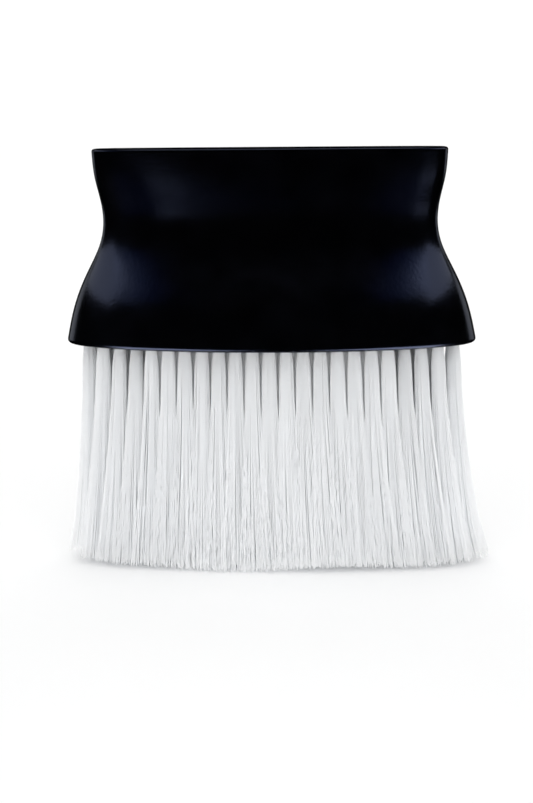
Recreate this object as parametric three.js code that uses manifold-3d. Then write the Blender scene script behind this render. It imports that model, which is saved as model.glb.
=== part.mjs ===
// Neck duster brush, in millimetres, +Z up, standing on its bristle tips with its front towards -Y.
// A hollow, waisted handle shell holds a drilled oval block in its mouth, and each hole holds one tuft of nylon.

import * as THREE from "three";
import { mergeVertices } from "three/addons/utils/BufferGeometryUtils.js";
import Module from "manifold-3d";

const wasm = await Module();
wasm.setup();

// Driving dimensions
const GAP = 0.3; // clearance between neighbouring pieces
const BRISTLE_SHOWN = 66; // from the tips to the lower edge of the handle
const HANDLE_HEIGHT = 56.3;
const SHELL_WALL = 2.7;
const TOP_WALL = 3;
const TOP_EDGE_RADIUS = 0.8;
const RIM_EDGE_RADIUS = 1.3;

// The handle's half width and half depth at a drop below its top: straight-sided top, waist, then the flare.
const HANDLE_STATIONS = [
  { drop: TOP_EDGE_RADIUS, halfWidth: 51.1, halfDepth: 9.5 },
  { drop: 8, halfWidth: 50.5, halfDepth: 9.2 },
  { drop: 15, halfWidth: 49.0, halfDepth: 8.7 },
  { drop: 21.5, halfWidth: 48.5, halfDepth: 8.5 },
  { drop: 28, halfWidth: 49.9, halfDepth: 9.9 },
  { drop: 35, halfWidth: 53.3, halfDepth: 13.8 },
  { drop: 42, halfWidth: 56.5, halfDepth: 18.0 },
  { drop: 49, halfWidth: 58.7, halfDepth: 20.6 },
  { drop: HANDLE_HEIGHT - RIM_EDGE_RADIUS, halfWidth: 60.0, halfDepth: 22.0 },
];
const TOP_SQUARENESS = 4; // exponent of the oval outline: 4 is a rounded rectangle, 2 is an ellipse
const RIM_SQUARENESS = 2;

const BLOCK = { halfWidth: 56.5, halfDepth: 18.4, thickness: 7.5, recess: 0.8, chamfer: 0.5 };
const LEDGE = 2.6; // width of the shoulder in the shell that the block seats against
const LEDGE_RISE = 3; // height above the ledge at which the hollow starts to follow the outside
const CORE_DRAFT = 0.03; // the cavity narrows by this much per millimetre above the waist, so that its core pulls out

const COLUMNS = 23;
const ROWS = 6;
const PITCH = 4.85;
const FIELD = { halfWidth: 55.2, halfDepth: 14, squareness: 2.6 }; // a tuft stands wherever its hole lies in this oval
const HOLE = { radius: 1.75, depth: 6 }; // each hole is drilled along its tuft's lean
const SPREAD_Z = 45; // height at which the tufts have spread until they meet
const SPLAY = { x: 1.1, y: 1.03 }; // spacing of the tips over spacing of the holes
const MASS_SQUARENESS = 5; // outline of a row's mingled tufts

// Fineness of the meshes
const TUFT_SIDES = 8;
const HANDLE_SIDES = 44;
const STEPS_PER_STATION = 2;
const EDGE_STEPS = 3;
const CUT_OVERLAP = 1; // how far a cut or a joined piece runs past the face it meets

// Derived dimensions
const RIM_Z = BRISTLE_SHOWN;
const TOP_Z = RIM_Z + HANDLE_HEIGHT;
const BLOCK_Z = RIM_Z + BLOCK.recess; // the block's drilled face
const BLOCK_TOP_Z = BLOCK_Z + BLOCK.thickness;
const ROOT_Z = BLOCK_Z + HOLE.depth - GAP; // where the folded tufts end inside their holes
const ROOT_RADIUS = 1.1; // at the top of a tuft, from where it widens all the way down
const waist = HANDLE_STATIONS.reduce((a, b) => (b.halfWidth < a.halfWidth ? b : a));
const handleSteps = (HANDLE_STATIONS.length - 1) * STEPS_PER_STATION;

const handlePlastic = new THREE.MeshStandardMaterial({ color: 0x060608, roughness: 0.22, metalness: 0 });
const blockPlastic = new THREE.MeshStandardMaterial({ color: 0x111113, roughness: 0.55, metalness: 0 });
const nylon = new THREE.MeshStandardMaterial({ color: 0xe9ecef, roughness: 0.45, metalness: 0 });

// One closed outline |x/a|^n + |y/b|^n = 1 at height z, anticlockwise from above.
function ovalRing({ x = 0, y = 0, z, halfWidth, halfDepth, squareness, sides }) {
  const power = 2 / squareness;
  return Array.from({ length: sides }, (_, i) => {
    const turn = ((i + 0.5) / sides) * Math.PI * 2;
    const c = Math.cos(turn);
    const s = Math.sin(turn);
    return new THREE.Vector3(
      x + halfWidth * Math.sign(c) * Math.abs(c) ** power,
      y + halfDepth * Math.sign(s) * Math.abs(s) ** power,
      z,
    );
  });
}

// A closed skin over rings with equal numbers of points, listed from the lowest up.
function loft(rings) {
  const sides = rings[0].length;
  const last = (rings.length - 1) * sides;
  const index = [];
  for (let ring = 0; ring < rings.length - 1; ring++) {
    for (let i = 0; i < sides; i++) {
      const a = ring * sides + i;
      const b = ring * sides + ((i + 1) % sides);
      index.push(a, b, b + sides, a, b + sides, a + sides);
    }
  }
  for (let i = 1; i < sides - 1; i++) {
    index.push(0, i + 1, i);
    index.push(last, last + i, last + i + 1);
  }
  return new THREE.BufferGeometry().setFromPoints(rings.flat()).setIndex(index);
}

function toSolid(geometry) {
  const bare = geometry.clone();
  bare.deleteAttribute("normal");
  bare.deleteAttribute("uv");
  const merged = mergeVertices(bare, 1e-4);
  return new wasm.Manifold(
    new wasm.Mesh({
      numProp: 3,
      vertProperties: new Float32Array(merged.attributes.position.array),
      triVerts: new Uint32Array(merged.index.array),
    }),
  );
}

function toGeometry(solid) {
  const mesh = solid.getMesh();
  return new THREE.BufferGeometry()
    .setAttribute("position", new THREE.BufferAttribute(mesh.vertProperties, mesh.numProp))
    .setIndex(new THREE.BufferAttribute(mesh.triVerts, 1));
}

function namedMesh(name, geometry, material) {
  const mesh = new THREE.Mesh(geometry, material);
  mesh.name = name;
  return mesh;
}

// Handle shell

const handleCurve = new THREE.CatmullRomCurve3(
  HANDLE_STATIONS.map((s) => new THREE.Vector3(s.halfWidth, s.halfDepth, TOP_Z - s.drop)),
  false,
  "catmullrom",
  0.5,
);

function handleSquareness(z) {
  const up = THREE.MathUtils.clamp((z - RIM_Z) / HANDLE_HEIGHT, 0, 1);
  return RIM_SQUARENESS + (TOP_SQUARENESS - RIM_SQUARENESS) * up ** 1.5;
}

// The handle's outline at one place along its curve, from 0 at the top to 1 at the rim.
function handleSection(along, inset = 0, z = null) {
  const p = handleCurve.getPoint(along);
  return {
    z: z ?? p.z,
    halfWidth: p.x - inset,
    halfDepth: p.y - inset,
    squareness: handleSquareness(z ?? p.z),
    sides: HANDLE_SIDES,
  };
}

// The rounded edge round an end face, listed from the face towards the side wall. Inwards is 1 for up, -1 for down.
function roundedEdge(along, radius, faceZ, inwards) {
  return Array.from({ length: EDGE_STEPS }, (_, i) => {
    const turn = (i / EDGE_STEPS) * (Math.PI / 2);
    const inset = radius * (1 - Math.sin(turn));
    return handleSection(along, inset, faceZ + inwards * radius * (1 - Math.cos(turn)));
  });
}

function handleOuter() {
  const rimEdge = roundedEdge(1, RIM_EDGE_RADIUS, RIM_Z, 1);
  const wall = Array.from({ length: handleSteps + 1 }, (_, i) => handleSection(1 - i / handleSteps));
  const topEdge = roundedEdge(0, TOP_EDGE_RADIUS, TOP_Z, -1).reverse();
  return loft([...rimEdge, ...wall, ...topEdge].map(ovalRing));
}

// The hollow above the ledge. Above the waist its size is the waist's, less the draft.
function handleCavity() {
  const floorZ = BLOCK_TOP_Z + GAP - CUT_OVERLAP;
  const roofZ = TOP_Z - TOP_WALL;
  const waistZ = TOP_Z - waist.drop;
  const waistStep = HANDLE_STATIONS.indexOf(waist) * STEPS_PER_STATION;
  const ledge = {
    z: floorZ,
    halfWidth: BLOCK.halfWidth + GAP - LEDGE,
    halfDepth: BLOCK.halfDepth + GAP - LEDGE,
    squareness: RIM_SQUARENESS,
    sides: HANDLE_SIDES,
  };
  const sections = [ledge];
  for (let i = handleSteps; i >= waistStep; i--) {
    const section = handleSection(i / handleSteps, SHELL_WALL);
    if (section.z > floorZ + LEDGE_RISE) {
      section.halfWidth = Math.min(section.halfWidth, ledge.halfWidth);
      section.halfDepth = Math.min(section.halfDepth, ledge.halfDepth);
      sections.push(section);
    }
  }
  const narrowing = (roofZ - waistZ) * CORE_DRAFT;
  sections.push({
    z: roofZ,
    halfWidth: waist.halfWidth - SHELL_WALL - narrowing,
    halfDepth: waist.halfDepth - SHELL_WALL - narrowing,
    squareness: handleSquareness(waistZ),
    sides: HANDLE_SIDES,
  });
  return loft(sections.map(ovalRing));
}

// The straight-sided seat for the block, open at the rim.
function blockSeat() {
  const size = {
    halfWidth: BLOCK.halfWidth + GAP,
    halfDepth: BLOCK.halfDepth + GAP,
    squareness: RIM_SQUARENESS,
    sides: HANDLE_SIDES,
  };
  return loft([ovalRing({ ...size, z: RIM_Z - CUT_OVERLAP }), ovalRing({ ...size, z: BLOCK_TOP_Z + GAP })]);
}

function handleShell() {
  const solid = toSolid(handleOuter()).subtract(toSolid(handleCavity())).subtract(toSolid(blockSeat()));
  return namedMesh("handle_shell", toGeometry(solid), handlePlastic);
}

// Tuft field

function inField(column, row) {
  const across = Math.abs((column * PITCH) / FIELD.halfWidth) ** FIELD.squareness;
  const deep = Math.abs((row * PITCH) / FIELD.halfDepth) ** FIELD.squareness;
  return across + deep <= 1;
}

const columns = Array.from({ length: COLUMNS }, (_, i) => i - (COLUMNS - 1) / 2);
const rows = Array.from({ length: ROWS }, (_, i) => i - (ROWS - 1) / 2); // the first is at the front
const stacks = columns.map((column) => ({ column, rows: rows.filter((row) => inField(column, row)) }));
const frontTufts = stacks.map((stack) => ({ column: stack.column, row: stack.rows[0] }));
const rearTufts = stacks.map((stack) => ({ column: stack.column, row: stack.rows.at(-1) }));

// Inside the outermost tufts, every other row stands half a pitch to one side, so that no gap runs straight through.
const innerRows = rows.map((row, i) => {
  const inside = stacks.filter((stack) => stack.rows.slice(1, -1).includes(row)).map((stack) => stack.column);
  return { row, columns: i % 2 ? inside.slice(1).map((column) => column - 0.5) : inside };
});
const places = [
  ...frontTufts,
  ...rearTufts,
  ...innerRows.flatMap(({ row, columns }) => columns.map((column) => ({ column, row }))),
];

// The middle of a tuft at height z. Tufts lean outwards in a straight line, their spacing growing to SPLAY at the tips.
function tuftCentre(column, row, z) {
  const below = 1 - z / BLOCK_Z;
  return new THREE.Vector3(
    column * PITCH * (1 + (SPLAY.x - 1) * below),
    row * PITCH * (1 + (SPLAY.y - 1) * below),
    z,
  );
}

function roundRing(centre, radius) {
  return ovalRing({
    ...centre,
    halfWidth: radius,
    halfDepth: radius,
    squareness: 2,
    sides: TUFT_SIDES,
  });
}

// The radius that leaves the gap between neighbouring octagonal tufts, flat to flat.
function spreadRadius(z) {
  const spacing = tuftCentre(0, 1, z).y;
  return (spacing - GAP) / 2 / Math.cos(Math.PI / TUFT_SIDES);
}

function tuftBlock() {
  const outline = (z, inset) =>
    ovalRing({
      z,
      halfWidth: BLOCK.halfWidth - inset,
      halfDepth: BLOCK.halfDepth - inset,
      squareness: RIM_SQUARENESS,
      sides: HANDLE_SIDES,
    });
  let solid = toSolid(
    loft([
      outline(BLOCK_Z, BLOCK.chamfer),
      outline(BLOCK_Z + BLOCK.chamfer, 0),
      outline(BLOCK_TOP_Z, 0),
    ]),
  );
  for (const { column, row } of places) {
    const ends = [BLOCK_Z - HOLE.depth, BLOCK_Z + HOLE.depth];
    const hole = loft(ends.map((z) => roundRing(tuftCentre(column, row, z), HOLE.radius)));
    solid = solid.subtract(toSolid(hole));
  }
  return namedMesh("tuft_block", toGeometry(solid), blockPlastic);
}

function tuft(name, column, row) {
  const rings = [
    roundRing(tuftCentre(column, row, 0), spreadRadius(0)),
    roundRing(tuftCentre(column, row, SPREAD_Z), spreadRadius(SPREAD_Z)),
    roundRing(tuftCentre(column, row, ROOT_Z), ROOT_RADIUS),
  ];
  return namedMesh(name, loft(rings), nylon);
}

// An inner row of tufts, whose filaments mingle into one mass below the height where they meet.
function innerRow(name, row, rowColumns) {
  const massRing = (z) => {
    const centre = tuftCentre(0, row, z);
    return ovalRing({
      ...centre,
      halfWidth: tuftCentre(rowColumns.length / 2, row, z).x - GAP,
      halfDepth: (tuftCentre(0, 1, z).y - GAP) / 2,
      squareness: MASS_SQUARENESS,
      sides: TUFT_SIDES,
    });
  };
  let solid = toSolid(loft([massRing(0), massRing(SPREAD_Z)]));
  for (const column of rowColumns) {
    const root = loft([
      roundRing(tuftCentre(column, row, SPREAD_Z - CUT_OVERLAP), spreadRadius(SPREAD_Z)),
      roundRing(tuftCentre(column, row, ROOT_Z), ROOT_RADIUS),
    ]);
    solid = solid.add(toSolid(root));
  }
  return namedMesh(name, toGeometry(solid), nylon);
}

// Each outermost tuft at the front and the rear is a piece of its own. The rest are joined row by row.
function tufts() {
  const group = new THREE.Group();
  columns.forEach((_, i) => {
    const number = String(i + 1).padStart(2, "0");
    group.add(tuft(`front_tuft_${number}`, frontTufts[i].column, frontTufts[i].row));
    group.add(tuft(`rear_tuft_${number}`, rearTufts[i].column, rearTufts[i].row));
  });
  innerRows.forEach(({ row, columns }, i) => {
    if (columns.length) {
      group.add(innerRow(`inner_tuft_row_${i + 1}`, row, columns));
    }
  });
  return group;
}

const brush = new THREE.Group();
brush.name = "neck_duster_brush";
brush.add(handleShell(), tuftBlock(), tufts());

export default brush;
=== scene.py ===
"""Neck duster brush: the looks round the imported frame. +Z up, front towards -Y.

Sizes are in millimetres, and add_piece() turns them into Blender's metres.
"""

import math

import bmesh
import bpy
import numpy as np
from mathutils import Matrix, Vector


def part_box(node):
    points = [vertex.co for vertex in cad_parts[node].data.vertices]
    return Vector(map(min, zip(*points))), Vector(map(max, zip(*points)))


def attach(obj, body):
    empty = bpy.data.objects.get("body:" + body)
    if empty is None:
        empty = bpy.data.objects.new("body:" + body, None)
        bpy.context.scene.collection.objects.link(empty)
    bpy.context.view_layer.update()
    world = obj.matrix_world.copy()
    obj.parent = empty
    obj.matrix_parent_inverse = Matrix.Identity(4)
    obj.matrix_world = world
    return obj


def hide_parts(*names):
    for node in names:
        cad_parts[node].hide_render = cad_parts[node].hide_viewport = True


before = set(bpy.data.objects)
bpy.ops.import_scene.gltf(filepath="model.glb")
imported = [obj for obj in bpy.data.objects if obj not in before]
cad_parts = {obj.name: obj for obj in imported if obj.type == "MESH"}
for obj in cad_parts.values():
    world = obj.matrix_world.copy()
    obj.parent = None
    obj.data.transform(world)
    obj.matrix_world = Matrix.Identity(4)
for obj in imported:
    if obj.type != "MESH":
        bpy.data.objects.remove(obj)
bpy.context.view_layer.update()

MM = 0.001

# Handle, as in the CAD: half width and half depth at a drop below the top
HANDLE_DROP = (0.8, 8, 15, 21.5, 28, 35, 42, 49, 55)
HANDLE_HALF_WIDTH = (51.1, 50.5, 49.0, 48.5, 49.9, 53.3, 56.5, 58.7, 60.0)
HANDLE_HALF_DEPTH = (9.5, 9.2, 8.7, 8.5, 9.9, 13.8, 18.0, 20.6, 22.0)
WAIST_DROP = 21.5
TOP_EDGE, RIM_EDGE = 0.8, 1.3
TOP_SQUARENESS, RIM_SQUARENESS = 4, 2
SQUARENESS_POWER = 1.5  # how late the wall turns square on its way up
EDGE_RINGS, WALL_RINGS = 9, 110
TOP_FACE_RINGS = (1.6, 4, 7)  # insets
SHELL_WALL, TOP_WALL, CORE_DRAFT = 2.7, 3, 0.03
ROOF_EDGE = ((3, 0), (0.8, 0), (0.24, 0.24), (0, 0.8))  # inset and drop of the rings round the hollow's roof
SEAT_HALF_WIDTH, SEAT_HALF_DEPTH, LEDGE = 56.8, 18.7, 2.6
SEAT_GAP = 0.3  # between the block and the ledge over it
LEDGE_SLOPE = 2  # height over the ledge in which the hollow's wall runs in to it
MOUTH_EDGE = 0.4

# Tuft block and anchors
BLOCK_CHAMFER = 0.5
HOLE_RADIUS, HOLE_DEPTH, HOLE_EDGE, DRILL_POINT = 1.75, 6, 0.15, 0.4
ANCHOR_WIDTH, ANCHOR_THICKNESS, ANCHOR_HEIGHT = 3.3, 0.35, 1.6
ANCHOR_DEPTH = 4.3  # of its upper edge in the hole
ANCHOR_BEVEL = 0.05

# Filaments
FILAMENTS_PER_TUFT = 80
FILAMENT_DIAMETER = 0.18
SPLAY_X, SPLAY_Y = 0.10, 0.03  # growth of the tufts' spacing from the block to the tips
STRAIGHT_LEAN = 0.35  # share of a tuft's lean along the width that is straight; the rest bends it
LEAN_POWER = 1.8  # how late that bend comes
EVEN_RADIUS, EVEN_ANGLE = 0.7549, 0.5698  # steps that spread the filaments evenly over their bundle
BUNDLE_IN_HOLE = 1.5  # radius
HOLE_START = 0.3  # height over the block's face at which a bundle is as narrow as its hole
FOLD_FLATNESS = 0.85  # depth of half a bundle in its hole against its width
BUNDLE_ROOT = 2.05  # radius just under the block
BUNDLE_GROWTH = 3.2  # added to the radius at the tips
BUNDLES_MEET = 0.5  # share of the length at which neighbouring bundles have pressed each other square
FREE_LEVELS = (1, 0.83, 0.64, 0.44, 0.25, 0.1)  # where a filament has points, from its tip up
TIP_SCATTER, START_SCATTER, CURL = 0.22, 0.06, 0.04  # how far the filaments stray from their places
CURL_TURNS = 5  # radians along the length
STRAYS, STRAY_LEAN = 0.01, 3  # share of the filaments, and how much further they lean
TIP_UNEVEN = 0.6  # most that a filament is shorter than the trimmed line
FLARE_LENGTH = 0.18  # share of the length in which a corner tuft flares
SETTLE_POWER = 6  # how soon a tuft comes under the oval of the tips
# The trimmed line of the tips: how far above the lowest it is, along the width
TIP_LINE_X = (-59, -52, -38, -12, 22, 50, 63)
TIP_LINE_RISE = (2.9, 1.8, 1.4, 0.5, 1.7, 1.2, 2.2)
TIP_DRIFT = 1.3  # all the tips lie a little to the right
TIP_OVAL_WIDTH, TIP_OVAL_DEPTH = 55.5, 12.1  # half sizes of the oval that the outermost tips settle into

# A corner tuft's lean to the right, the flare of its last centimetre, and the rise of its cut across it
CORNERS = {
    "front_tuft_01": (2.2, -1.0, 4.0),
    "rear_tuft_01": (1.0, 0, 0),
    "front_tuft_23": (-1.0, 1.0, 0),
    "rear_tuft_23": (-0.6, 1.0, 0),
}

RING_POINTS = 288
BLOCK_RING_POINTS = 144
HOLE_POINTS = 24
ANCHOR_POINTS, ANCHOR_SQUARENESS = 16, 6
# Edges that turn by more than these degrees are shaded sharp
HANDLE_CREASE, BLOCK_CREASE, ANCHOR_CREASE, TUFT_CREASE = 35, 30, 40, 80
SEED = 11

handle_low, handle_high = (np.array(corner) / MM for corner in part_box("handle_shell"))
block_low, block_high = (np.array(corner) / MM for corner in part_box("tuft_block"))
RIM_Z, TOP_Z = handle_low[2], handle_high[2]
BLOCK_Z, BLOCK_TOP_Z = block_low[2], block_high[2]


# Mesh helpers


def add_piece(name, verts, faces, body, material, stands_for=(), sharp=None):
    """Makes a mesh from millimetre points, hands it to the frame, and returns it."""
    mesh = bpy.data.meshes.new(name)
    mesh.from_pydata((np.asarray(verts) * MM).tolist(), [], faces)
    mesh.materials.append(material)
    mesh.shade_smooth()
    if sharp is not None:
        mesh.set_sharp_from_angle(angle=math.radians(sharp))
    piece = bpy.data.objects.new(name, mesh)
    bpy.context.scene.collection.objects.link(piece)
    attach(piece, body)
    if stands_for:
        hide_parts(*stands_for)
    return piece


def smooth_curve(xs, ys):
    """A natural cubic spline through the points, as a function of x."""
    xs, ys = np.array(xs, float), np.array(ys, float)
    step = np.diff(xs)
    slope = np.diff(ys) / step
    rows = np.eye(len(xs))
    wanted = np.zeros(len(xs))
    for i in range(1, len(xs) - 1):
        rows[i, i - 1 : i + 2] = step[i - 1], 2 * (step[i - 1] + step[i]), step[i]
        wanted[i] = 6 * (slope[i] - slope[i - 1])
    bend = np.linalg.solve(rows, wanted)

    def value(x):
        i = np.clip(np.searchsorted(xs, x) - 1, 0, len(xs) - 2)
        u = x - xs[i]
        first = slope[i] - step[i] * (2 * bend[i] + bend[i + 1]) / 6
        return ys[i] + u * first + u**2 * bend[i] / 2 + u**3 * (bend[i + 1] - bend[i]) / (6 * step[i])

    return value


def oval(half_width, half_depth, z, squareness, points=RING_POINTS):
    """A closed ring |x/a|^n + |y/b|^n = 1 whose points share the same x fractions on every ring."""
    turn = (np.arange(points) + 0.5) / points * 2 * math.pi
    across = np.cos(turn)
    deep = (1 - np.abs(across) ** squareness) ** (1 / squareness) * np.sign(np.sin(turn))
    return np.column_stack([half_width * across, half_depth * deep, np.full(points, z)])


def bridge(first, second, points):
    """Quads between two rings that start at these vertex numbers."""
    return [
        (first + i, first + (i + 1) % points, second + (i + 1) % points, second + i)
        for i in range(points)
    ]


def strip_cap(first, points):
    """Quads across a flat ring, from its front to its rear."""
    half = points // 2
    return [
        (first + i, first + i + 1, first + points - 2 - i, first + points - 1 - i)
        for i in range(half - 1)
    ]


def skin(rings):
    """Points and outward faces of the closed skin over rings, capped at both ends."""
    points = len(rings[0])
    faces = strip_cap(0, points)
    for i in range(len(rings) - 1):
        faces += bridge(i * points, (i + 1) * points, points)
    faces += strip_cap((len(rings) - 1) * points, points)
    return np.vstack(rings), faces


def face_outwards(piece):
    bm = bmesh.new()
    bm.from_mesh(piece.data)
    bmesh.ops.recalc_face_normals(bm, faces=bm.faces)
    bm.to_mesh(piece.data)
    bm.free()


# Handle


half_width_at = smooth_curve(HANDLE_DROP, HANDLE_HALF_WIDTH)
half_depth_at = smooth_curve(HANDLE_DROP, HANDLE_HALF_DEPTH)


def squareness_at(z):
    up = min(max((z - RIM_Z) / (TOP_Z - RIM_Z), 0), 1)
    return RIM_SQUARENESS + (TOP_SQUARENESS - RIM_SQUARENESS) * up**SQUARENESS_POWER


def handle_ring(drop, inset=0.0, z=None):
    z = TOP_Z - drop if z is None else z
    return oval(half_width_at(drop) - inset, half_depth_at(drop) - inset, z, squareness_at(z))


def rounded_edge(drop, edge, outwards):
    """Rings of the arc from the side wall's end to an end face. Outwards is 1 at the top, -1 at the rim."""
    small = 0.01
    slope = (half_width_at(drop + small) - half_width_at(drop - small)) / (2 * small)
    start = math.atan(slope)
    radius = edge / (1 - outwards * math.sin(start))
    rings = []
    for turn in np.linspace(start, outwards * math.pi / 2, EDGE_RINGS):
        inset = radius * (math.cos(start) - math.cos(turn))
        z = TOP_Z - drop + radius * (math.sin(turn) - math.sin(start))
        rings.append(handle_ring(drop, inset, z))
    return rings


def handle_outside():
    """Rings from the inner edge of the rim, up the wall, to the middle of the top."""
    rim = rounded_edge(HANDLE_DROP[-1], RIM_EDGE, -1)[::-1]
    wall = [handle_ring(drop) for drop in np.linspace(HANDLE_DROP[-1], HANDLE_DROP[0], WALL_RINGS)[1:-1]]
    top = rounded_edge(HANDLE_DROP[0], TOP_EDGE, 1)
    face = [handle_ring(HANDLE_DROP[0], inset, TOP_Z) for inset in TOP_FACE_RINGS]
    return rim + wall + top + face


def handle_inside():
    """Rings from the middle of the hollow's roof, down to the ledge, the seat and the mouth."""
    core_height = WAIST_DROP - TOP_WALL
    narrowing = core_height * CORE_DRAFT
    waist_width = half_width_at(WAIST_DROP) - SHELL_WALL
    waist_depth = half_depth_at(WAIST_DROP) - SHELL_WALL
    waist_square = squareness_at(TOP_Z - WAIST_DROP)
    core = (waist_width - narrowing, waist_depth - narrowing)
    rings = [
        oval(core[0] - inset, core[1] - inset, TOP_Z - TOP_WALL - drop, waist_square)
        for inset, drop in ROOF_EDGE
    ]
    for share in np.linspace(0.1, 1, 8):
        width = core[0] + narrowing * share
        depth = core[1] + narrowing * share
        rings.append(oval(width, depth, TOP_Z - TOP_WALL - share * core_height, waist_square))
    ledge_z = BLOCK_TOP_Z + SEAT_GAP
    ledge_width, ledge_depth = SEAT_HALF_WIDTH - LEDGE, SEAT_HALF_DEPTH - LEDGE
    for drop in np.linspace(WAIST_DROP, TOP_Z - ledge_z - LEDGE_SLOPE, 20)[1:]:
        width = min(half_width_at(drop) - SHELL_WALL, ledge_width)
        depth = min(half_depth_at(drop) - SHELL_WALL, ledge_depth)
        rings.append(oval(width, depth, TOP_Z - drop, squareness_at(TOP_Z - drop)))
    seat = (SEAT_HALF_WIDTH, SEAT_HALF_DEPTH)
    for width, depth, z in (
        (ledge_width, ledge_depth, ledge_z),
        (*seat, ledge_z),
        (*seat, RIM_Z + MOUTH_EDGE),
        (seat[0] + MOUTH_EDGE, seat[1] + MOUTH_EDGE, RIM_Z),
    ):
        rings.append(oval(width, depth, z, RIM_SQUARENESS))
    return rings


def make_handle(material):
    verts, faces = skin(handle_inside() + handle_outside())
    piece = add_piece("handle", verts, faces, "root", material, ["handle_shell"])
    face_outwards(piece)
    piece.data.set_sharp_from_angle(angle=math.radians(HANDLE_CREASE))


# Tuft block


def lean(place, z):
    """The axis of the tuft or hole whose middle is at place on the block's face."""
    below = 1 - z / BLOCK_Z
    return place[0] * (1 + SPLAY_X * below), place[1] * (1 + SPLAY_Y * below)


def places_of(node):
    """Where a CAD node's tufts meet the block's face, read from the rings at their upper ends."""
    points = np.array([v.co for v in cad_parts[node].data.vertices]) / MM
    root_z = points[:, 2].max()
    tolerance = 0.01
    ends = points[points[:, 2] > root_z - tolerance]
    ends = ends[np.argsort(ends[:, 0])]
    apart = np.flatnonzero(np.diff(ends[:, 0]) > HOLE_RADIUS)
    grown = [1 + splay * (1 - root_z / BLOCK_Z) for splay in (SPLAY_X, SPLAY_Y)]
    return [
        tuple((ring[:, axis].min() + ring[:, axis].max()) / 2 / grown[axis] for axis in (0, 1))
        for ring in np.split(ends, apart + 1)
    ]


def make_block(places, material):
    half_width, half_depth = block_high[0], block_high[1]
    rings = [
        oval(half_width - inset, half_depth - inset, z, RIM_SQUARENESS, BLOCK_RING_POINTS)
        for inset, z in (
            (BLOCK_CHAMFER, BLOCK_Z),
            (0, BLOCK_Z + BLOCK_CHAMFER),
            (0, BLOCK_TOP_Z - BLOCK_CHAMFER),
            (BLOCK_CHAMFER, BLOCK_TOP_Z),
        )
    ]
    bm = bmesh.new()
    loops = [[bm.verts.new(point) for point in ring] for ring in rings]
    for low, high in zip(loops, loops[1:]):
        for i in range(len(low)):
            bm.faces.new((low[i - 1], low[i], high[i], high[i - 1]))
    bm.faces.new(loops[-1])
    turns = np.arange(HOLE_POINTS) / HOLE_POINTS * 2 * math.pi
    edges = [bm.edges.get((loops[0][i - 1], loops[0][i])) for i in range(len(loops[0]))]
    for place in places:
        walls = []
        for radius, depth in (
            (HOLE_RADIUS + HOLE_EDGE, 0),
            (HOLE_RADIUS, HOLE_EDGE),
            (HOLE_RADIUS, HOLE_DEPTH - DRILL_POINT),
        ):
            z = BLOCK_Z + depth
            x, y = lean(place, z)
            walls.append([
                bm.verts.new((x + radius * math.cos(turn), y + radius * math.sin(turn), z))
                for turn in turns
            ])
        for low, high in zip(walls, walls[1:]):
            for i in range(HOLE_POINTS):
                bm.faces.new((low[i - 1], low[i], high[i], high[i - 1]))
        point = bm.verts.new((*lean(place, BLOCK_Z + HOLE_DEPTH), BLOCK_Z + HOLE_DEPTH))
        for i in range(HOLE_POINTS):
            bm.faces.new((walls[-1][i - 1], walls[-1][i], point))
        edges += [bm.edges.get((walls[0][i - 1], walls[0][i])) for i in range(HOLE_POINTS)]
    bmesh.ops.triangle_fill(bm, use_beauty=True, edges=edges)
    bmesh.ops.recalc_face_normals(bm, faces=bm.faces)
    bm.verts.index_update()
    verts = [vert.co[:] for vert in bm.verts]
    faces = [[vert.index for vert in face.verts] for face in bm.faces]
    bm.free()
    add_piece("block", verts, faces, "root", material, ["tuft_block"], sharp=BLOCK_CREASE)


def make_anchors(places, material):
    """One flat metal staple in each hole, standing across it, with the tuft folded over its upper edge."""
    middle = BLOCK_Z + ANCHOR_DEPTH - ANCHOR_HEIGHT / 2
    verts, faces = [], []
    for number, place in enumerate(places):
        x, y = lean(place, middle)
        rings = []
        for inset, depth in ((ANCHOR_BEVEL, -1), (0, -0.7), (0, 0.7), (ANCHOR_BEVEL, 1)):
            half_width, half_height = ANCHOR_WIDTH / 2 - inset, ANCHOR_HEIGHT / 2 - inset
            outline = oval(half_width, half_height, 0, ANCHOR_SQUARENESS, ANCHOR_POINTS)
            rings.append(np.column_stack([
                x + outline[:, 0],
                np.full(ANCHOR_POINTS, y + depth * ANCHOR_THICKNESS / 2),
                middle + outline[:, 1],
            ]))
        points, quads = skin(rings)
        verts.append(points)
        faces += [tuple(number * len(points) + i for i in quad) for quad in quads]
    piece = add_piece("tuft_anchors", np.vstack(verts), faces, "root", material)
    face_outwards(piece)
    piece.data.set_sharp_from_angle(angle=math.radians(ANCHOR_CREASE))


# Tufts


def bundle_middle(place, tip_y, t):
    """The middle of a tuft at t, from 0 at the block's face to 1 at the tips, where it leans out more."""
    leaned = STRAIGHT_LEAN * t + (1 - STRAIGHT_LEAN) * np.maximum(t, 0) ** LEAN_POWER
    x = place[0] * (1 + SPLAY_X * leaned) + TIP_DRIFT * np.maximum(t, 0) ** 2
    settled = 1 - (1 - np.clip(t, 0, 1)) ** SETTLE_POWER
    y = place[1] + (tip_y - place[1]) * settled
    return x, y


tip_line = smooth_curve(TIP_LINE_X, TIP_LINE_RISE)


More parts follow.
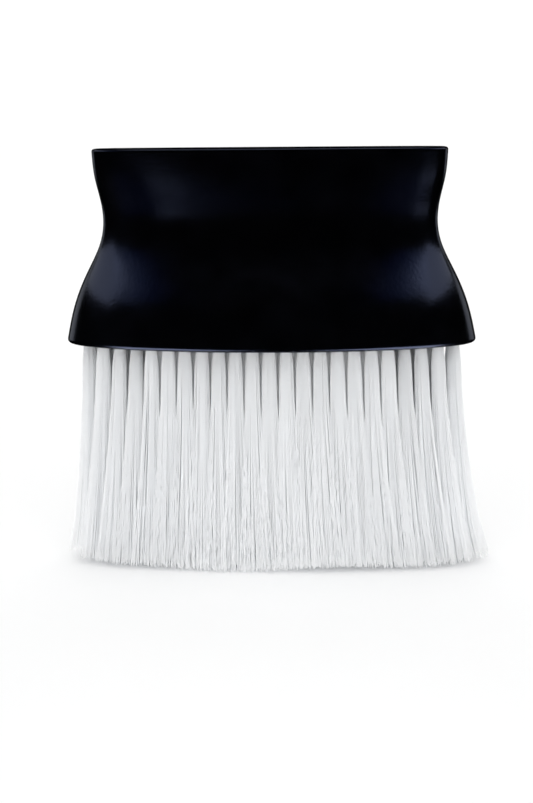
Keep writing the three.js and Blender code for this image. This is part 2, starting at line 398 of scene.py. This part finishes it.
def tuft_filaments(place, tip_y, corner, rng):
    """Paths and side directions of a tuft's filaments, each folded over the anchor into two legs."""
    count = FILAMENTS_PER_TUFT
    order = np.arange(count)
    radius = BUNDLE_IN_HOLE * np.sqrt((order * EVEN_RADIUS + rng.random()) % 1)
    angle = math.pi * ((order * EVEN_ANGLE + rng.random()) % 1)
    u = radius * np.cos(angle)
    v = ANCHOR_THICKNESS / 2 + FILAMENT_DIAMETER / 2 + radius * np.sin(angle) * FOLD_FLATNESS
    to_square = np.hypot(u, v) / np.maximum(np.abs(u), v) - 1

    side_lean, flare, cut_rise = corner
    legs = []
    for side in (1, -1):
        lean_out = rng.normal(0, TIP_SCATTER, (count, 2))
        lean_out[rng.random(count) < STRAYS] *= STRAY_LEAN
        start_out = rng.normal(0, START_SCATTER, (count, 2))
        curl = rng.normal(0, CURL, (count, 2))
        phase = rng.random((count, 2)) * 2 * math.pi
        tip_x = bundle_middle(place, tip_y, 1)[0] + u * BUNDLE_GROWTH
        cut = cut_rise * (u / BUNDLE_IN_HOLE + 1) / 2
        end_z = rng.random(count) ** 2 * TIP_UNEVEN + tip_line(tip_x) + cut
        path = []
        for level in FREE_LEVELS:
            z = end_z + (BLOCK_Z - end_z) * (1 - level)
            t = 1 - z / BLOCK_Z
            tt = t[:, None]
            x, y = bundle_middle(place, tip_y, t)
            size = (BUNDLE_ROOT + BUNDLE_GROWTH * t**2) / BUNDLE_IN_HOLE
            size = size * (1 + to_square * np.minimum(t / BUNDLES_MEET, 1))
            wander = lean_out * tt**1.3 + start_out * tt**0.5 + curl * np.sin(CURL_TURNS * tt + phase) * tt
            near_tip = np.maximum(t - 1 + FLARE_LENGTH, 0) / FLARE_LENGTH
            swept = side_lean * t + flare * near_tip**2
            path.append(np.column_stack([
                x + u * size + wander[:, 0] + swept,
                y + side * v * size + wander[:, 1],
                z,
            ]))
        for z in (BLOCK_Z + HOLE_START, BLOCK_Z + ANCHOR_DEPTH):
            x, y = lean(place, z)
            path.append(np.column_stack([x + u, y + side * v, np.full(count, z)]))
        legs.append(np.stack(path, 1))

    x, y = lean(place, BLOCK_Z + ANCHOR_DEPTH)
    bends = np.radians([45, 90, 135])
    fold = [
        np.column_stack([x + u, y + v * math.cos(bend), BLOCK_Z + ANCHOR_DEPTH + v * math.sin(bend)])
        for bend in bends
    ]
    path = np.concatenate([legs[0], np.stack(fold, 1), legs[1][:, ::-1]], 1)
    leg_points = legs[0].shape[1]
    turns = np.concatenate([np.zeros(leg_points), bends, np.full(leg_points, math.pi)])
    sideways = np.column_stack([np.zeros(len(turns)), np.cos(turns), np.sin(turns)])
    return path, sideways


def make_tufts(name, places, tip_depth, material, corner):
    """One piece for a CAD node of one tuft or of a row of tufts."""
    rng = np.random.default_rng([SEED, *name.encode()])
    corners = np.radians([30, 150, 270])
    blocks = []
    for place in places:
        path, sideways = tuft_filaments(place, tip_depth(place), corner, rng)
        around = (
            np.cos(corners)[:, None] * np.array([1.0, 0, 0])
            + np.sin(corners)[:, None] * sideways[:, None, :]
        )
        blocks.append(path[:, :, None, :] + FILAMENT_DIAMETER / 2 * around)
    verts = np.concatenate(blocks)
    filaments, rings, sides, _ = verts.shape
    number = np.arange(filaments * rings * sides).reshape(filaments, rings, sides)
    low, high = number[:, :-1], number[:, 1:]
    quads = np.stack([low, np.roll(low, -1, 2), np.roll(high, -1, 2), high], -1).reshape(-1, 4)
    caps = np.concatenate([number[:, 0, ::-1], number[:, -1]])
    faces = quads.tolist() + caps.tolist()
    points = verts.reshape(-1, 3)
    add_piece(name, points, faces, "root", material, [name], sharp=TUFT_CREASE)


# Materials

NOISE_RANGE = (0.3, 0.7)  # where nearly all of a noise pattern lies


def new_material(name):
    material = bpy.data.materials.new(name)
    material.use_nodes = True
    nodes = material.node_tree.nodes
    return material, nodes, material.node_tree.links, nodes["Principled BSDF"]


def noise(nodes, links, scale, detail, stretch=(1, 1, 1)):
    """A noise pattern in the object's own space, whose cells are about 1/scale metres across."""
    where = nodes.new("ShaderNodeTexCoord")
    stretched = nodes.new("ShaderNodeMapping")
    stretched.inputs["Scale"].default_value = stretch
    pattern = nodes.new("ShaderNodeTexNoise")
    pattern.inputs["Scale"].default_value = scale
    pattern.inputs["Detail"].default_value = detail
    links.new(where.outputs["Object"], stretched.inputs["Vector"])
    links.new(stretched.outputs["Vector"], pattern.inputs["Vector"])
    return pattern.outputs["Fac"]


def ramp(nodes, links, source, positions, colours):
    """Two colours at two places along a source between 0 and 1, and their blend between them."""
    node = nodes.new("ShaderNodeValToRGB")
    for element, position, colour in zip(node.color_ramp.elements, positions, colours):
        element.position = position
        element.color = (*colour, 1)
    links.new(source, node.inputs["Fac"])
    return node.outputs["Color"]


def paint(nodes, links, shader, pattern, dark, light):
    """The base colour between a dark and a light one, by a noise pattern."""
    links.new(ramp(nodes, links, pattern, NOISE_RANGE, (dark, light)), shader.inputs["Base Color"])


def spread(nodes, links, source, low, high):
    """A noise pattern spread between two values."""
    node = nodes.new("ShaderNodeMapRange")
    node.inputs["From Min"].default_value, node.inputs["From Max"].default_value = NOISE_RANGE
    node.inputs["To Min"].default_value = low
    node.inputs["To Max"].default_value = high
    links.new(source, node.inputs["Value"])
    return node.outputs["Result"]


def bump(nodes, links, height, distance, strength):
    node = nodes.new("ShaderNodeBump")
    node.inputs["Distance"].default_value = distance
    node.inputs["Strength"].default_value = strength
    links.new(height, node.inputs["Height"])
    return node.outputs["Normal"]


def gloss_black():
    material, nodes, links, shader = new_material("gloss_black")
    cloud = noise(nodes, links, 90, 4)
    grain = noise(nodes, links, 1100, 3)
    paint(nodes, links, shader, cloud, (0.0002, 0.0002, 0.0003), (0.0005, 0.0005, 0.0007))
    links.new(spread(nodes, links, cloud, 0.16, 0.24), shader.inputs["Roughness"])
    shader.inputs["Specular Tint"].default_value = (0.55, 0.63, 1, 1)
    links.new(bump(nodes, links, grain, 0.00006, 0.45), shader.inputs["Normal"])
    return material


def satin_black():
    material, nodes, links, shader = new_material("satin_black")
    grain = noise(nodes, links, 1500, 3)
    paint(nodes, links, shader, grain, (0.012, 0.012, 0.013), (0.018, 0.018, 0.02))
    links.new(spread(nodes, links, grain, 0.45, 0.6), shader.inputs["Roughness"])
    links.new(bump(nodes, links, grain, 0.0001, 0.3), shader.inputs["Normal"])
    return material


def nylon():
    material, nodes, links, shader = new_material("white_nylon")
    strands = noise(nodes, links, 2200, 2, (1, 1, 0.02))
    paint(nodes, links, shader, strands, (0.972, 0.979, 0.986), (0.984, 0.989, 0.994))
    shader.inputs["Roughness"].default_value = 0.38
    shader.inputs["Subsurface Weight"].default_value = 1
    shader.inputs["Subsurface Radius"].default_value = (1, 1, 1)
    shader.inputs["Subsurface Scale"].default_value = 0.0004
    return material


def drawn_wire():
    material, nodes, links, shader = new_material("drawn_wire")
    lines = noise(nodes, links, 4000, 2, (0.05, 1, 1))
    paint(nodes, links, shader, lines, (0.52, 0.50, 0.46), (0.64, 0.62, 0.58))
    links.new(spread(nodes, links, lines, 0.25, 0.45), shader.inputs["Roughness"])
    shader.inputs["Metallic"].default_value = 1
    return material


def pale_floor():
    material, _, _, shader = new_material("pale_floor")
    shader.inputs["Base Color"].default_value = (0.98, 0.98, 0.98, 1)
    shader.inputs["Roughness"].default_value = 0.8
    shader.inputs["Specular IOR Level"].default_value = 0
    return material


# Studio

WHITE = (1, 1, 1)
COOL = (0.93, 0.96, 1.0)
DUSK = (0.62, 0.74, 1.0)
NAVY = (0.16, 0.28, 1.0)
SIDE_WALLS = (0.25, 0.25, 0.25)  # against the white of the room's front, rear and ceiling


def direction(azimuth, elevation):
    """From the brush: azimuth 0 is the front, 90 the right-hand side."""
    a, e = math.radians(azimuth), math.radians(elevation)
    return Vector((math.sin(a) * math.cos(e), -math.cos(a) * math.cos(e), math.sin(e)))


def make_lamp(name, size, radiance, place, turn, colour):
    """A soft box that the camera doesn't see. Radiance 1 is as bright as a white world of strength 1."""
    light = bpy.data.lights.new(name, "AREA")
    light.shape = "RECTANGLE"
    light.size, light.size_y = size
    light.energy = radiance * math.pi * size[0] * size[1]
    light.color = colour
    lamp = bpy.data.objects.new(name, light)
    lamp.location = place
    lamp.rotation_euler = turn
    lamp.visible_camera = False
    bpy.context.scene.collection.objects.link(lamp)
    return lamp


def soft_box(name, azimuth, elevation, distance, size, radiance, colour=WHITE):
    """A soft box that faces the handle."""
    aim = Vector((0, 0, 0.088))
    place = aim + direction(azimuth, elevation) * distance
    turn = (aim - place).to_track_quat("-Z", "Y").to_euler()
    return make_lamp(name, size, radiance, place, turn, colour)


def reflector(*settings, colour=COOL):
    """A soft box that only shows as a reflection, mostly in the gloss of the handle."""
    soft_box(*settings, colour).visible_diffuse = False


def floor_reflector(name, azimuth, distance, size, radiance, colour=COOL):
    """A flat card just over the floor, whose reflection shows on the handle's rim and upper wall."""
    place = direction(azimuth, 0) * distance + Vector((0, 0, 0.003))
    lamp = make_lamp(name, size, radiance, place, (math.pi, 0, math.radians(azimuth)), colour)
    lamp.visible_diffuse = False


def make_key_light():
    """A soft spot on the lower middle of the bristles, fading all round."""
    light = bpy.data.lights.new("key_light", "SPOT")
    light.energy = 24
    light.shadow_soft_size = 0.05
    light.spot_size = math.radians(6.6)
    light.spot_blend = 1
    lamp = bpy.data.objects.new("key_light", light)
    aim = Vector((0, 0, 0.018))
    lamp.location = aim + direction(0, 12) * 1.3
    lamp.rotation_euler = (aim - lamp.location).to_track_quat("-Z", "Y").to_euler()
    lamp.visible_camera = False
    lamp.visible_glossy = False
    bpy.context.scene.collection.objects.link(lamp)


def make_world():
    """A white room with darker side walls. The camera sees white all round, and the gloss sees none of it."""
    world = bpy.data.worlds.new("studio")
    bpy.context.scene.world = world
    world.use_nodes = True
    nodes, links = world.node_tree.nodes, world.node_tree.links
    towards = nodes.new("ShaderNodeTexCoord")
    split = nodes.new("ShaderNodeSeparateXYZ")
    sideways = nodes.new("ShaderNodeMath")
    sideways.operation = "ABSOLUTE"
    rays = nodes.new("ShaderNodeLightPath")
    brightness = nodes.new("ShaderNodeMath")
    brightness.operation = "MAXIMUM"
    links.new(towards.outputs["Generated"], split.inputs["Vector"])
    links.new(split.outputs["X"], sideways.inputs[0])
    walls = ramp(nodes, links, sideways.outputs["Value"], (0.35, 0.9), (WHITE, SIDE_WALLS))
    links.new(walls, brightness.inputs[0])
    links.new(rays.outputs["Is Camera Ray"], brightness.inputs[1])
    links.new(brightness.outputs["Value"], nodes["Background"].inputs["Color"])
    nodes["Background"].inputs["Strength"].default_value = 1.3
    world.cycles_visibility.glossy = False


def make_floor():
    reach = 6.0
    corners = [(-reach, -reach, 0), (reach, -reach, 0), (reach, reach, 0), (-reach, reach, 0)]
    mesh = bpy.data.meshes.new("floor")
    mesh.from_pydata(corners, [], [(0, 1, 2, 3)])
    mesh.materials.append(pale_floor())
    floor = bpy.data.objects.new("floor", mesh)
    bpy.context.scene.collection.objects.link(floor)
    floor.visible_glossy = False


def make_lights():
    reflector("top_edge", 0, 90, 0.9, (0.6, 0.5), 1.6)
    soft_box("top_light", 0, 90, 0.9, (0.6, 0.5), 0.9)
    soft_box("front_light", 0, 22, 1.3, (1.4, 0.9), 0.06).visible_glossy = False
    reflector("side_left", -83, 32, 0.8, (0.8, 0.42), 1.4)
    reflector("side_right", 80, 35, 0.8, (0.8, 0.4), 1.5)
    reflector("fade_left", -49, 35, 0.8, (0.2, 0.38), 0.42, colour=DUSK)
    reflector("fade_right", 47, 39, 0.8, (0.2, 0.34), 0.45, colour=DUSK)
    reflector("haze_left", -39, 39, 0.8, (0.16, 0.3), 0.14, colour=NAVY)
    reflector("haze_right", 36, 41, 0.8, (0.18, 0.28), 0.15, colour=NAVY)
    reflector("rear_left", -120, 4, 0.8, (0.34, 0.36), 0.65)
    reflector("rear_right", 120, 4, 0.8, (0.34, 0.36), 0.65)
    floor_reflector("card_near_left", -45, 0.12, (0.09, 0.12), 5)
    floor_reflector("card_near_right", 52, 0.12, (0.09, 0.12), 5)
    floor_reflector("card_far_left", -16, 0.485, (0.05, 0.07), 2.6)
    floor_reflector("card_far_right", 46, 0.4, (0.17, 0.06), 1.6)
    floor_reflector("card_haze_left", -22, 0.38, (0.28, 0.16), 0.1, NAVY)
    floor_reflector("card_haze_right", 30, 0.36, (0.2, 0.14), 0.12, NAVY)
    make_key_light()


def make_camera():
    """The photographer's place: straight in front, a little above the handle, looking down on it."""
    data = bpy.data.cameras.new("camera")
    data.sensor_fit = "AUTO"
    data.sensor_width = 36
    data.lens = 65.35
    camera = bpy.data.objects.new("camera", data)
    azimuth, down, roll = math.radians(2.423), math.radians(11.301), math.radians(-0.475)
    ahead = Vector((-math.sin(azimuth) * math.cos(down), math.cos(azimuth) * math.cos(down), -math.sin(down)))
    level = Vector((math.cos(azimuth), math.sin(azimuth), 0))
    above = level.cross(ahead)
    right = level * math.cos(roll) + above * math.sin(roll)
    up = above * math.cos(roll) - level * math.sin(roll)
    turned = Matrix((right, up, -ahead)).transposed().to_4x4()
    camera.matrix_world = Matrix.Translation((0.01656, -0.42468, 0.13282)) @ turned
    bpy.context.scene.collection.objects.link(camera)
    bpy.context.scene.camera = camera


make_camera()
make_world()
make_floor()
make_lights()

tuft_nodes = sorted(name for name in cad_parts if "tuft" in name and name != "tuft_block")
places = {name: places_of(name) for name in tuft_nodes}
all_places = [place for name in tuft_nodes for place in places[name]]
rear_edge = sorted(places[name][0] for name in tuft_nodes if name.startswith("rear"))


def tip_depth(place):
    """Where a tuft's tips settle in y: the outermost on a smooth oval, and the others in proportion."""
    grid_edge = np.interp(place[0], *zip(*rear_edge))
    oval_edge = TIP_OVAL_DEPTH * math.sqrt(1 - (place[0] / TIP_OVAL_WIDTH) ** 2)
    return place[1] * (1 + SPLAY_Y) * oval_edge / grid_edge


make_handle(gloss_black())
make_block(all_places, satin_black())
make_anchors(all_places, drawn_wire())
white = nylon()
for name in tuft_nodes:
    make_tufts(name, places[name], tip_depth, white, CORNERS.get(name, (0, 0, 0)))

bpy.context.scene.view_settings.view_transform = "Standard"
bpy.context.scene.cycles.max_bounces = 24
bpy.context.scene.cycles.diffuse_bounces = 24
